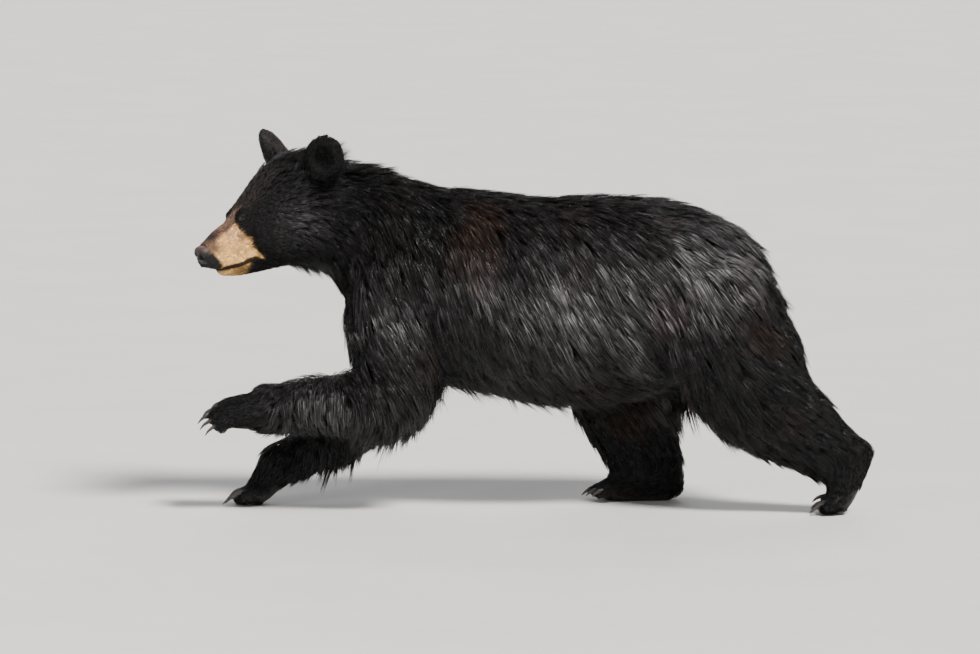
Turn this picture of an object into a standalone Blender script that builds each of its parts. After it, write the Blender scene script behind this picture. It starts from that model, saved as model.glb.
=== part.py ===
"""A running American black bear about two years old, as a still life-size model.

The bear faces -Y, its left side is +X and the floor is Z = 0, all in metres. Every size is that of
the coat's outer surface. Tapered tubes and ellipsoids are fused by a voxel remesh into one body,
with the head and the paws fused again at a finer grain. Thin cuts then part it, and the eyes, nose
pad, ears and claws are pieces of their own seated in sockets.
"""

import math

import bmesh
import bpy
import numpy as np
from mathutils import Matrix, Vector

GAP = 0.0004  # between touching pieces
RING_SIDES = 28
SPAN_STEPS = 6  # rings between two stations of a tube
CLAW_SIDES, CLAW_STEPS = 6, 1

# Remesh grain, smoothing steps and triangle budget.
BODY_GRAIN = (0.0055, 12, 1450)
HEAD_GRAIN = (0.0034, 9, 950)
PAW_GRAIN = (0.0024, 6, 250)

# The joints in mid stride: (x, y, z).
SHOULDER = {"left": (0.088, -0.245, 0.400), "right": (-0.088, -0.240, 0.390)}
ELBOW = {"left": (0.108, -0.202, 0.222), "right": (-0.082, -0.225, 0.190)}
WRIST = {"left": (0.088, -0.470, 0.192), "right": (-0.030, -0.450, 0.0693)}
HIP = {"left": (0.072, 0.360, 0.430), "right": (-0.072, 0.350, 0.430)}
KNEE = {"left": (0.112, 0.368, 0.262), "right": (-0.108, 0.162, 0.248)}
ANKLE = {"left": (0.106, 0.604, 0.0957), "right": (-0.094, 0.258, 0.042)}
SIDES = {"left": 1, "right": -1}

HEAD_AT = Vector((0.080, -0.530, 0.543))  # midway between the eyes
HEAD_YAW, HEAD_PITCH = math.radians(28), math.radians(18)  # towards its left, and nose down
EYE_CENTRE, EYE_RADIUS = (0.0226, 0.0158, -0.0025), 0.0100
EAR_FOOT, EAR_TIP = Vector((0.085, 0.168, 0.044)), Vector((0.127, 0.187, 0.097))
EAR_LEAN = -0.011  # of the right ear, which is turned out and forward
EAR_FACING = {1: math.radians(38), -1: math.radians(55)}  # from straight ahead towards the side

# Sections of a tube: (x, y, z, half width, half depth).
TRUNK = [
    (0, -0.240, 0.405, 0.105, 0.120),
    (0, -0.200, 0.416, 0.122, 0.160),
    (0, -0.150, 0.414, 0.136, 0.180),
    (0, -0.090, 0.406, 0.144, 0.184),
    (0, -0.020, 0.395, 0.148, 0.187),
    (0, 0.070, 0.384, 0.152, 0.193),
    (0, 0.150, 0.386, 0.150, 0.194),
    (0, 0.240, 0.398, 0.143, 0.180),
    (0, 0.310, 0.402, 0.134, 0.160),
    (0, 0.368, 0.396, 0.118, 0.134),
    (0, 0.406, 0.382, 0.098, 0.102),
]
NECK = [
    (0.000, -0.385, 0.572, 0.086, 0.088),
    (0.001, -0.335, 0.552, 0.098, 0.104),
    (0.000, -0.258, 0.504, 0.120, 0.126),
    (0.000, -0.170, 0.445, 0.132, 0.150),
]
TAIL = [
    (0, 0.430, 0.432, 0.026, 0.022),
    (0, 0.468, 0.398, 0.024, 0.020),
    (0, 0.490, 0.348, 0.017, 0.014),
]
# In the head's frame: its origin is midway between the eyes and it looks along -Y.
SKULL = [
    (0, 0.004, -0.033, 0.036, 0.029),
    (0, 0.045, -0.021, 0.052, 0.047),
    (0, 0.090, -0.015, 0.073, 0.068),
    (0, 0.140, -0.010, 0.083, 0.086),
    (0, 0.200, -0.022, 0.086, 0.095),
]
MUZZLE = [
    (0, 0.018, -0.0395, 0.040, 0.0375),
    (0, -0.020, -0.0425, 0.0335, 0.0335),
    (0, -0.045, -0.0470, 0.0295, 0.0290),
    (0, -0.060, -0.0505, 0.0275, 0.0245),
    (0, -0.068, -0.053, 0.0250, 0.0205),
]
JAW = [
    (0, -0.044, -0.083, 0.0195, 0.0135),
    (0, -0.018, -0.086, 0.0270, 0.0190),
    (0, 0.030, -0.085, 0.0440, 0.0300),
    (0, 0.080, -0.078, 0.0700, 0.0460),
    (0, 0.130, -0.078, 0.0850, 0.0660),
    (0, 0.190, -0.080, 0.0880, 0.0830),
]
# Ellipsoids on each side of the head: (centre, radii).
HEAD_LOBES = {
    "cheek": ((0.040, 0.082, -0.046), (0.050, 0.070, 0.060)),
    "ruff": ((0.048, 0.140, -0.056), (0.052, 0.068, 0.074)),
    "brow": ((0.019, 0.029, -0.001), (0.015, 0.024, 0.0145)),
    "lip": ((0.0195, -0.048, -0.061), (0.0155, 0.030, 0.0155)),
    "flews": ((0.0240, 0.010, -0.064), (0.0230, 0.046, 0.0300)),
}
# Limb sections as (share of the way between two joints, half width, half depth).
ARM = [(0.0, 0.062, 0.088), (0.5, 0.060, 0.084), (1.0, 0.052, 0.074)]
FOREARM = {
    "left": [(-0.04, 0.048, 0.068), (0.25, 0.051, 0.069), (0.60, 0.045, 0.057), (1.0, 0.040, 0.044)],
    "right": [(-0.04, 0.046, 0.058), (0.25, 0.049, 0.055), (0.60, 0.044, 0.046), (1.0, 0.040, 0.038)],
}
THIGH = [(0.0, 0.074, 0.110), (0.35, 0.076, 0.114), (0.70, 0.066, 0.098), (1.0, 0.054, 0.082)]
SHANK = {
    "left": [(-0.05, 0.052, 0.086), (0.33, 0.055, 0.094), (0.66, 0.049, 0.076), (0.98, 0.042, 0.050)],
    "right": [(-0.05, 0.052, 0.086), (0.40, 0.054, 0.088), (0.70, 0.049, 0.074), (1.0, 0.043, 0.058)],
}

TOES = range(-2, 3)
PAWS = {
    "forepaw_left": {
        "at": WRIST["left"], "forward": (-0.08, -1, -0.08), "dorsal": (0.35, 0, 1), "heel": None,
        "palm": 0.064, "width": 0.092, "toe": 0.036, "bend": math.radians(-8), "claw": 0.027,
        "cut": (-0.458, 0.190, -90),
    },
    "forepaw_right": {
        "at": WRIST["right"], "forward": (0.10, -0.62, -0.79), "dorsal": (0, -1, 0.8), "heel": None,
        "palm": 0.066, "width": 0.092, "toe": 0.036, "bend": math.radians(47), "claw": 0.027,
        "cut": (-0.440, 0.083, -38),
    },
    "hindpaw_left": {
        "at": ANKLE["left"], "forward": (-0.02, -0.22, -1), "dorsal": (0, -1, 0.2),
        "heel": (0.030, -0.020), "palm": 0.082, "width": 0.086, "toe": 0.034,
        "bend": math.radians(70), "claw": 0.021, "cut": (0.597, 0.117, 40),
    },
    "hindpaw_right": {
        "at": ANKLE["right"], "forward": (0.03, -1, -0.22), "dorsal": (0, 0, 1),
        "heel": (0.036, -0.016), "palm": 0.088, "width": 0.086, "toe": 0.034,
        "bend": math.radians(8), "claw": 0.021, "cut": (0.258, 0.074, 9),
    },
}

# Cutting regions: superellipsoids as (centre, radii, turns about X and Y in degrees).
ARM_REGION = {
    "left": ((0.112, -0.220, 0.312), (0.094, 0.114, 0.135), (-8, 0)),
    "right": ((-0.106, -0.216, 0.285), (0.096, 0.118, 0.145), (0, 0)),
}
THIGH_REGION = {
    "left": ((0.116, 0.400, 0.325), (0.098, 0.148, 0.162), (8, 0)),
    "right": ((-0.112, 0.256, 0.316), (0.104, 0.212, 0.158), (0, 0)),
}
TAIL_REGION = ((0, 0.492, 0.395), (0.040, 0.034, 0.090), (22, 0))

COLOURS = {
    "coat": ((0.012, 0.011, 0.012), 0.5),
    "nose": ((0.030, 0.022, 0.020), 0.35),
    "eye": ((0.020, 0.010, 0.006), 0.05),
    "claw": ((0.035, 0.030, 0.028), 0.3),
}


# ---------------------------------------------------------------- shapes


def curved(stations, steps=SPAN_STEPS):
    """Catmull-Rom curve through rows of numbers."""
    rows = np.array(stations, float)
    padded = np.vstack([2 * rows[0] - rows[1], rows, 2 * rows[-1] - rows[-2]])
    found = []
    for i in range(1, len(rows)):
        a, b, c, d = padded[i - 1 : i + 3]
        for k in range(steps):
            t = k / steps
            bend = (2 * a - 5 * b + 4 * c - d) * t**2 + (3 * b - a - 3 * c + d) * t**3
            found.append(0.5 * (2 * b + (c - a) * t + bend))
    return [*found, rows[-1]]


def signed_power(value, power):
    return math.copysign(abs(value) ** power, value)


def tube(bm, stations, side=(1, 0, 0), power=2.0, ends=(0.6, 0.6), sides=RING_SIDES, steps=SPAN_STEPS):
    """A closed tube through stations of (x, y, z, half width along side, half depth).

    Its sections are superellipses: power 2 is an ellipse and more is squarer. Each end is a dome as
    long as its share in ends of the end section's smaller half size."""
    rows = curved(stations, steps)
    centres = [Vector(row[:3]) for row in rows]
    last = len(rows) - 1
    sections = []
    for i, row in enumerate(rows):
        tangent = (centres[min(i + 1, last)] - centres[max(i - 1, 0)]).normalized()
        across = (Vector(side) - tangent * tangent.dot(Vector(side))).normalized()
        sections.append((centres[i], tangent, across, row[3], row[4]))
    angles = [math.radians(a) for a in ((20, 40, 60, 80) if steps > 3 else (50,))]

    def domed(section, sign, share, angle):
        centre, tangent, across, width, depth = section
        shift = tangent * (sign * math.sin(angle) * share * min(width, depth))
        return (centre + shift, tangent, across, width * math.cos(angle), depth * math.cos(angle))

    sections = (
        [domed(sections[0], -1, ends[0], a) for a in reversed(angles)]
        + sections
        + [domed(sections[-1], 1, ends[1], a) for a in angles]
    )
    loops = []
    for centre, tangent, across, width, depth in sections:
        up = tangent.cross(across)
        loop = []
        for k in range(sides):
            angle = 2 * math.pi * k / sides
            x = signed_power(math.cos(angle), 2 / power) * width
            y = signed_power(math.sin(angle), 2 / power) * depth
            loop.append(bm.verts.new(centre + across * x + up * y))
        loops.append(loop)
    for a, b in zip(loops, loops[1:]):
        for k in range(sides):
            n = (k + 1) % sides
            bm.faces.new((a[k], a[n], b[n], b[k]))
    bm.faces.new(reversed(loops[0]))
    bm.faces.new(loops[-1])


def blob(bm, centre, radii, turn=None, segments=24, power=2.0):
    """An ellipsoid, or squarer with more power; turn is a 3x3 rotation."""
    before = set(bm.verts)
    bmesh.ops.create_uvsphere(bm, u_segments=segments, v_segments=segments // 2, radius=1)
    turn = turn or Matrix.Identity(3)
    for vert in set(bm.verts) - before:
        size = sum(abs(c) ** power for c in vert.co) ** (1 / power)
        local = Vector([c / size * r for c, r in zip(vert.co, radii)])
        vert.co = Vector(centre) + turn @ local


def moved(bm, matrix, build):
    """Runs build on bm and moves what it made by matrix."""
    before = set(bm.verts)
    build(bm)
    bmesh.ops.transform(bm, matrix=matrix, verts=[v for v in bm.verts if v not in before])


def mirrored(centre, out):
    return Vector((out * centre[0], centre[1], centre[2]))


# ---------------------------------------------------------------- objects


def object_from(build, name, material=None):
    bm = bmesh.new()
    build(bm)
    # One fixed diagonal in each quad keeps a shape and its grown copy parallel.
    bmesh.ops.triangulate(bm, faces=bm.faces, quad_method="FIXED")
    bmesh.ops.recalc_face_normals(bm, faces=bm.faces)
    mesh = bpy.data.meshes.new(name)
    bm.to_mesh(mesh)
    bm.free()
    return object_of(mesh, name, material)


def object_of(mesh, name, material=None):
    obj = bpy.data.objects.new(name, mesh)
    bpy.context.scene.collection.objects.link(obj)
    if material:
        mesh.materials.clear()
        mesh.materials.append(material)
    return obj


def evaluated_mesh(obj):
    """The mesh with its modifiers applied; obj is removed."""
    graph = bpy.context.evaluated_depsgraph_get()
    mesh = bpy.data.meshes.new_from_object(obj.evaluated_get(graph))
    bpy.data.objects.remove(obj)
    return mesh


def combined(mesh, build, operation, solver="EXACT"):
    """A new mesh: a Boolean of mesh with the solid that build makes."""
    obj = object_of(mesh.copy(), "work")
    other = object_from(build, "tool")
    modifier = obj.modifiers.new("Cut", "BOOLEAN")
    modifier.object, modifier.operation, modifier.solver = other, operation, solver
    result = evaluated_mesh(obj)
    bpy.data.objects.remove(other)
    return result


def split(mesh, region):
    """The parts of mesh inside and outside region, GAP apart; region builds itself grown by a size.

    The EXACT solver loses the inside of the fused body here, so this is MANIFOLD's work."""
    inside = combined(mesh, lambda bm: region(bm, 0.0), "INTERSECT", "MANIFOLD")
    return inside, combined(mesh, lambda bm: region(bm, GAP), "DIFFERENCE", "MANIFOLD")


def fused(build, grain):
    """The masses that build makes as one smooth mesh."""
    voxel, steps, triangles = grain
    obj = object_from(build, "fused")
    remesh = obj.modifiers.new("Fuse", "REMESH")
    remesh.mode, remesh.voxel_size = "VOXEL", voxel
    smooth = obj.modifiers.new("Smooth", "SMOOTH")
    smooth.factor, smooth.iterations = 0.5, steps
    mesh = evaluated_mesh(obj)
    obj = object_of(mesh, "fused")
    decimate = obj.modifiers.new("Decimate", "DECIMATE")
    decimate.ratio = triangles / (2 * len(mesh.polygons))
    return evaluated_mesh(obj)


def islands(mesh):
    """Each loose part of mesh as a mesh of its own."""
    bm = bmesh.new()
    bm.from_mesh(mesh)
    left = set(bm.verts)
    groups = []
    while left:
        front = [left.pop()]
        group = set(front)
        while front:
            here = front.pop()
            new = {e.other_vert(here) for e in here.link_edges} & left
            left -= new
            group |= new
            front += new
        groups.append(group)
    keeps = [{v.index for v in group} for group in groups]
    bm.free()
    found = []
    for keep in keeps:
        part = bmesh.new()
        part.from_mesh(mesh)
        bmesh.ops.delete(part, geom=[v for v in part.verts if v.index not in keep], context="VERTS")
        piece = bpy.data.meshes.new("island")
        part.to_mesh(piece)
        part.free()
        found.append(piece)
    return found


# ---------------------------------------------------------------- masses


def head_matrix():
    turn = Matrix.Rotation(HEAD_YAW, 4, "Z") @ Matrix.Rotation(HEAD_PITCH, 4, "X")
    return Matrix.Translation(HEAD_AT) @ turn


def head_masses(bm):
    tube(bm, SKULL, power=2.2)
    tube(bm, MUZZLE, power=2.3, ends=(0.6, 0.5))
    tube(bm, JAW)
    for out in SIDES.values():
        for centre, radii in HEAD_LOBES.values():
            blob(bm, mirrored(centre, out), radii)


def limb(bm, start, end, sections, **shape):
    """A tube between two joints."""
    start, end = Vector(start), Vector(end)
    tube(bm, [(*start.lerp(end, t), width, depth) for t, width, depth in sections], **shape)


def arm_masses(bm, side, out):
    shoulder, elbow = Vector(SHOULDER[side]), Vector(ELBOW[side])
    blade = Vector((out * 0.078, -0.150, 0.480))
    tube(
        bm,
        [
            (*blade, 0.052, 0.085),
            (*blade.lerp(shoulder, 0.55), 0.060, 0.094),
            *[(*shoulder.lerp(elbow, t), width, depth) for t, width, depth in ARM],
        ],
    )
    limb(bm, elbow, WRIST[side], FOREARM[side])


def leg_masses(bm, side, out):
    hip, knee = Vector(HIP[side]), Vector(KNEE[side])
    limb(bm, hip, knee, THIGH)
    limb(bm, knee, ANKLE[side], SHANK[side])
    # Hamstrings, from the seat to the calf.
    calf = knee.lerp(Vector(ANKLE[side]), 0.35)
    seat = Vector((out * 0.066, 0.395, 0.395))
    tube(
        bm,
        [
            (*seat, 0.052, 0.074),
            (*(seat.lerp(calf, 0.5) + Vector((0, 0.030, 0))), 0.054, 0.070),
            (*calf, 0.050, 0.078),
        ],
    )


def paw_frame(paw):
    """World matrix of a paw: X across, -Y ahead to the toes and Z out of its upper side."""
    ahead = Vector(paw["forward"]).normalized()
    dorsal = Vector(paw["dorsal"])
    up = (dorsal - ahead * ahead.dot(dorsal)).normalized()
    across = up.cross(ahead)
    return Matrix.Translation(paw["at"]) @ Matrix((across, -ahead, up)).transposed().to_4x4()


def toes(paw):
    """Each toe of a paw: its number, root, turn and length, in the paw's frame."""
    for i in TOES:
        turn = Matrix.Rotation(math.radians(7.0 * i), 3, "Z") @ Matrix.Rotation(-paw["bend"], 3, "X")
        root = Vector((i * paw["width"] * 0.218, -paw["palm"] + abs(i) ** 1.7 * 0.0040, -0.003))
        yield i, root, turn, paw["toe"] * (1 - 0.05 * abs(i))


def paw_masses(bm, paw):
    half, palm = paw["width"] / 2, paw["palm"]

    def build(b):
        back = [(0, 0.030, 0.000, 0.040, 0.036), (0, -0.018, -0.002, half * 0.88, 0.031)]
        tube(b, [*back, (0, -palm + 0.002, -0.002, half * 0.95, 0.023)], power=2.3)
        if paw["heel"]:
            y, z = paw["heel"]
            sole = [(0, y, z, 0.030, 0.027), (0, 0, -0.016, 0.036, 0.028)]
            tube(b, [*sole, (0, -palm * 0.7, -0.010, half * 0.88, 0.022)])
        for _, root, turn, long in toes(paw):
            blob(b, root + turn @ Vector((0, -long * 0.50, 0)), (0.0128, long * 0.74, 0.0132), turn, 16)
            blob(b, root + turn @ Vector((0, -long * 0.72, -0.007)), (0.0105, 0.014, 0.0090), turn, 12)

    moved(bm, paw_frame(paw), build)


def body_masses(bm):
    tube(bm, TRUNK, power=2.15, ends=(0.6, 0.45))
    tube(bm, NECK)
    tube(bm, TAIL)
    for side, out in SIDES.items():
        arm_masses(bm, side, out)
        leg_masses(bm, side, out)
    for paw in PAWS.values():
        paw_masses(bm, paw)
    moved(bm, head_matrix(), head_masses)


def head_and_neck(bm):
    tube(bm, NECK)
    moved(bm, head_matrix(), head_masses)


def paw_and_limb(bm, name):
    kind, side = name.split("_")
    if kind == "forepaw":
        limb(bm, ELBOW[side], WRIST[side], FOREARM[side])
    else:
        limb(bm, KNEE[side], ANKLE[side], SHANK[side])
    paw_masses(bm, PAWS[name])


# ---------------------------------------------------------------- regions


def box(bm, matrix, low, high, grow):
    """A box from corner low to corner high in the frame of matrix."""
    size = [h - l + 2 * grow for l, h in zip(low, high)]
    middle = Vector([(l + h) / 2 for l, h in zip(low, high)])
    shape = Matrix.Translation(middle) @ Matrix.Diagonal((*size, 1))
    bmesh.ops.create_cube(bm, size=1, matrix=matrix @ shape)


def head_region(bm, grow):
    """In front of a plane behind the ears and jaw."""
    frame = head_matrix() @ Matrix.Translation((0, 0.190, -0.030)) @ Matrix.Rotation(math.radians(-19), 4, "X")
    box(bm, frame, (-0.25, -0.40, -0.22), (0.25, 0, 0.30), grow)


def neck_region(bm, grow):
    """In front of a plane from the withers to the breast."""
    frame = Matrix.Translation((0, -0.300, 0.500)) @ Matrix.Rotation(math.radians(-37), 4, "X")
    box(bm, frame, (-0.25, -0.30, -0.17), (0.25, 0, 0.30), grow)


def paw_region(bm, paw, grow):
    """Below a plane through the wrist or above the heel."""
    y, z, tilt = paw["cut"]
    frame = Matrix.Translation((paw["at"][0], y, z)) @ Matrix.Rotation(math.radians(tilt), 4, "X")
    box(bm, frame, (-0.09, -0.15, -0.20), (0.09, 0.15, 0), grow)


def rounded_region(bm, centre, radii, turns, grow):
    turn = Matrix.Rotation(math.radians(turns[0]), 3, "X") @ Matrix.Rotation(math.radians(turns[1]), 3, "Y")
    blob(bm, centre, [r + grow for r in radii], turn, 12, 3.5)


def floor_block(bm):
    box(bm, Matrix(), (-0.5, -1, -0.1), (0.5, 1, 0), 0)


# ---------------------------------------------------------------- small pieces


def ear_frame(out):
    """X across the ear, -Y out of its open side and Z up to its tip."""
    lean = Vector((0, EAR_LEAN if out < 0 else 0, 0))
    axis = (EAR_TIP + lean - EAR_FOOT).normalized()
    facing = Vector((math.sin(EAR_FACING[out]), -math.cos(EAR_FACING[out]), 0))
    facing = (facing - axis * axis.dot(facing)).normalized()
    across = axis.cross(facing)
    frame = Matrix.Translation(EAR_FOOT) @ Matrix((across, -facing, axis)).transposed().to_4x4()
    return frame if out > 0 else Matrix.Diagonal((-1, 1, 1, 1)) @ frame


def ear_shape(bm, out, grow):
    """A rounded flap standing on the skull."""
    tall = (EAR_TIP - EAR_FOOT).length
    rows = [(-0.24, 0.030, 0.022), (0.04, 0.037, 0.021), (0.34, 0.0405, 0.018), (0.62, 0.037, 0.0135)]
    rows.append((0.84, 0.027, 0.0100))
    stations = [(0, 0, tall * t, width + grow, depth + grow) for t, width, depth in rows]
    matrix = head_matrix() @ ear_frame(out)
    moved(bm, matrix, lambda b: tube(b, stations, ends=(0.3, 1.5), sides=12, steps=2))


def ear_hollow(bm, out):
    """The hollow of the ear, open ahead."""
    tall = (EAR_TIP - EAR_FOOT).length
    matrix = head_matrix() @ ear_frame(out)
    moved(bm, matrix, lambda b: blob(b, (0, -0.024, tall * 0.46), (0.027, 0.024, tall * 0.40), None, 12))


def nose_shape(bm, grow):
    """The bare nose pad."""

    def build(b):
        radii = [r + grow for r in (0.0215, 0.0115, 0.0175)]
        blob(b, (0, -0.0715, -0.0425), radii, Matrix.Rotation(math.radians(-14), 3, "X"), 14, 2.4)

    moved(bm, head_matrix(), build)


def eye_shape(bm, out, grow):
    moved(bm, head_matrix(), lambda b: blob(b, mirrored(EYE_CENTRE, out), [EYE_RADIUS + grow] * 3, None, 12))


def claw_shape(bm, paw, root, turn, long, grow):
    """A tapered tube bent down through an arc, its root inside the toe."""
    start = root + turn @ Vector((0, -long * 1.04, 0.003))
    arc = math.radians(58)
    radius = paw["claw"] / arc
    rows = []
    for t in (-0.28, 0.0, 0.5, 1.0):
        along = Vector((0, -radius * math.sin(arc * t), -radius * (1 - math.cos(arc * t))))
        thick = 1 - 0.80 * max(t, 0) ** 1.4
        rows.append((*(start + turn @ along), 0.0034 * thick + grow, 0.0050 * thick + grow))
    across = turn @ Vector((1, 0, 0))
    moved(bm, paw_frame(paw), lambda b: tube(b, rows, across, 2, (0.5, 0.8), CLAW_SIDES, CLAW_STEPS))


# ---------------------------------------------------------------- assembly


def material_of(name):
    colour, roughness = COLOURS[name]
    material = bpy.data.materials.new(name)
    material.use_nodes = True
    shader = material.node_tree.nodes["Principled BSDF"]
    shader.inputs["Base Color"].default_value = (*colour, 1)
    shader.inputs["Roughness"].default_value = roughness
    return material


def head_mesh():
    head, _ = split(fused(head_and_neck, HEAD_GRAIN), head_region)
    head = combined(head, lambda bm: nose_shape(bm, GAP), "DIFFERENCE")
    for out in SIDES.values():
        head = combined(head, lambda bm: eye_shape(bm, out, GAP), "DIFFERENCE")
        head = combined(head, lambda bm: ear_shape(bm, out, GAP), "DIFFERENCE")
    return head


def paw_mesh(name):
    paw = PAWS[name]
    mesh, _ = split(fused(lambda bm: paw_and_limb(bm, name), PAW_GRAIN), lambda bm, g: paw_region(bm, paw, g))
    mesh = combined(mesh, floor_block, "DIFFERENCE")
    for _, root, turn, long in toes(paw):
        mesh = combined(mesh, lambda bm: claw_shape(bm, paw, root, turn, long, GAP), "DIFFERENCE")
    return mesh


def main():
    for obj in list(bpy.data.objects):
        bpy.data.objects.remove(obj)
    coat, nose, eye, claw = (material_of(name) for name in COLOURS)

    object_of(head_mesh(), "head", coat)
    object_from(lambda bm: nose_shape(bm, 0), "nose", nose)
    for side, out in SIDES.items():
        object_from(lambda bm: eye_shape(bm, out, 0), f"eye_{side}", eye)
        ear = object_from(lambda bm: ear_shape(bm, out, 0), "ear")
        ear = combined(evaluated_mesh(ear), lambda bm: ear_hollow(bm, out), "DIFFERENCE")
        object_of(ear, f"ear_{side}", coat)

    _, rest = split(fused(body_masses, BODY_GRAIN), head_region)
    for name, paw in PAWS.items():
        _, rest = split(rest, lambda bm, grow: paw_region(bm, paw, grow))
        object_of(paw_mesh(name), name, coat)
        for i, root, turn, long in toes(paw):
            object_from(lambda bm: claw_shape(bm, paw, root, turn, long, 0), f"claw_{name}_{i + 3}", claw)

    neck, rest = split(rest, neck_region)
    object_of(neck, "neck", coat)
    tail, rest = split(rest, lambda bm, grow: rounded_region(bm, *TAIL_REGION, grow))
    object_of(tail, "tail", coat)
    for side in SIDES:
        arm, rest = split(rest, lambda bm, grow: rounded_region(bm, *ARM_REGION[side], grow))
        object_of(arm, f"upper_arm_{side}", coat)
        thigh, rest = split(rest, lambda bm, grow: rounded_region(bm, *THIGH_REGION[side], grow))
        object_of(thigh, f"thigh_{side}", coat)
    middles = {"trunk": Vector((0, 0.1, 0.4))}
    for side in SIDES:
        middles[f"forearm_{side}"] = Vector(ELBOW[side]).lerp(Vector(WRIST[side]), 0.5)
        middles[f"shank_{side}"] = Vector(KNEE[side]).lerp(Vector(ANKLE[side]), 0.6)
    for piece in islands(rest):
        centre = sum((v.co for v in piece.vertices), Vector()) / len(piece.vertices)
        name = min(middles, key=lambda n: (middles[n] - centre).length)
        object_of(piece, name, coat)

    # The origin goes below the middle of the whole.
    corners = [v.co for obj in bpy.data.objects for v in obj.data.vertices]
    middle = [(min(c[k] for c in corners) + max(c[k] for c in corners)) / 2 for k in (0, 1)]

    for obj in bpy.data.objects:
        obj.data.shade_smooth()
        obj.data.set_sharp_from_angle(angle=math.radians(50))
        obj.location = (-middle[0], -middle[1], 0)


main()
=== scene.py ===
"""The looks of a young black bear in mid stride: skin, fur, eyes, nose, pads and claws."""

import math

import bmesh
import bpy
import numpy as np
from mathutils import Matrix, Vector
from mathutils.bvhtree import BVHTree
from mathutils.kdtree import KDTree


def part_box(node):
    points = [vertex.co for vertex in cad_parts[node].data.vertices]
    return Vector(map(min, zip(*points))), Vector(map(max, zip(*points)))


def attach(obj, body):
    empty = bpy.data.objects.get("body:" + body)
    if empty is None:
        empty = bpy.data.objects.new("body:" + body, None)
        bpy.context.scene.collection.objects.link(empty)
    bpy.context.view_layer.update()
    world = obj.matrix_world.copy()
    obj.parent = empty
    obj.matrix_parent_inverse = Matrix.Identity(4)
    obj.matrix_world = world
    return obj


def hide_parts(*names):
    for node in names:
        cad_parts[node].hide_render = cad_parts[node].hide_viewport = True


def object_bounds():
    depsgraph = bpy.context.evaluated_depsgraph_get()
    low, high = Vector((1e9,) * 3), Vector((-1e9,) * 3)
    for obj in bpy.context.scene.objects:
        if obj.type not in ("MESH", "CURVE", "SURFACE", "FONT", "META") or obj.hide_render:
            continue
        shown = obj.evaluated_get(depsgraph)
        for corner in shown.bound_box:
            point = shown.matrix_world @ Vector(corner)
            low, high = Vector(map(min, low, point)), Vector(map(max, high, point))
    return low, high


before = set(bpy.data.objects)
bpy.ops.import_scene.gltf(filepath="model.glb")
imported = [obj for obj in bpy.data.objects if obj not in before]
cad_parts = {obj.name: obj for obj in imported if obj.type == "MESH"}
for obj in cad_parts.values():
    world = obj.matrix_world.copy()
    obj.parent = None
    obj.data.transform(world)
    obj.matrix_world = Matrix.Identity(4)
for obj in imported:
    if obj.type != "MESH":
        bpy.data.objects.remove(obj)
cad_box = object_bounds()
rng = np.random.default_rng(48)

# -------- the bear's landmarks

HEAD_YAW, HEAD_PITCH = math.radians(28), math.radians(18)
# The left eye's centre and the left ear, in the head's frame: to its left, back and up.
EYE_IN_HEAD = np.array((0.0226, 0.0158, -0.0025))
EAR_FOOT, EAR_TIP = np.array((0.085, 0.168, 0.044)), np.array((0.127, 0.187, 0.097))
EYE_RADIUS, EYE_SET = 0.0098, 0.0010  # the ball and how much deeper than its solid it sits
SIDES = {"left": 1, "right": -1}
# The head's origin and the limbs' joints, in the joints' frame.
HEAD_PLACE = np.array((0.080, -0.530, 0.543))
SHOULDER = {"left": (0.088, -0.245, 0.400), "right": (-0.088, -0.240, 0.390)}
ELBOW = {"left": (0.108, -0.202, 0.222), "right": (-0.082, -0.225, 0.190)}
WRIST = {"left": (0.088, -0.470, 0.192), "right": (-0.030, -0.450, 0.069)}
KNEE = {"left": (0.112, 0.368, 0.262), "right": (-0.108, 0.162, 0.248)}
ANKLE = {"left": (0.106, 0.604, 0.096), "right": (-0.094, 0.258, 0.042)}
PAWS = {  # forward, upper side, palm length
    "forepaw_left": ((-0.08, -1, -0.08), (0.35, 0, 1), 0.064),
    "forepaw_right": ((0.10, -0.62, -0.79), (0, -1, 0.8), 0.066),
    "hindpaw_left": ((-0.02, -0.22, -1), (0, -1, 0.2), 0.082),
    "hindpaw_right": ((0.03, -1, -0.22), (0, 0, 1), 0.088),
}


def unit(v):
    return v / np.maximum(np.linalg.norm(v, axis=-1, keepdims=True), 1e-12)


def step(low, high, x):
    """0 below low, 1 above high and smooth between them."""
    t = np.clip((x - low) / (high - low), 0, 1)
    return t * t * (3 - 2 * t)


def bell(x, width):
    return np.exp(-((x / width) ** 2))


def waves(points, scale, seed):
    """A smooth random field from -1 to 1, of sine waves in random directions."""
    found = np.zeros(len(points))
    local = np.random.default_rng(seed)
    for _ in range(9):
        way = local.normal(size=3)
        found += np.sin(points @ way / scale + local.random() * 2 * math.pi)
    return found / 4.2


def box_middle(name):
    low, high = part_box(name)
    return np.array((low + high) / 2)


def rotation(axis, angle):
    return np.array(Matrix.Rotation(angle, 3, axis))


HEAD_TURN = rotation("Z", HEAD_YAW) @ rotation("X", HEAD_PITCH)
EYES_MIDDLE = (box_middle("eye_left") + box_middle("eye_right")) / 2
HEAD_ORIGIN = EYES_MIDDLE - HEAD_TURN @ (EYE_IN_HEAD * (0, 1, 1))
SHIFT = HEAD_ORIGIN - HEAD_PLACE  # from the joints' frame to the model's


def in_head(points):
    return (points - HEAD_ORIGIN) @ HEAD_TURN


def from_head(points):
    return np.asarray(points) @ HEAD_TURN.T + HEAD_ORIGIN


def paw_turn(name):
    """Columns: across, backwards and out of the upper side."""
    ahead, dorsal = unit(np.array(PAWS[name][0], float)), np.array(PAWS[name][1], float)
    up = unit(dorsal - ahead * (ahead @ dorsal))
    return np.stack([np.cross(up, ahead), -ahead, up], 1)


def paw_origin(name):
    kind, side = name.split("_")
    return np.array((WRIST if kind == "forepaw" else ANKLE)[side]) + SHIFT


# -------- mesh helpers


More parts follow.
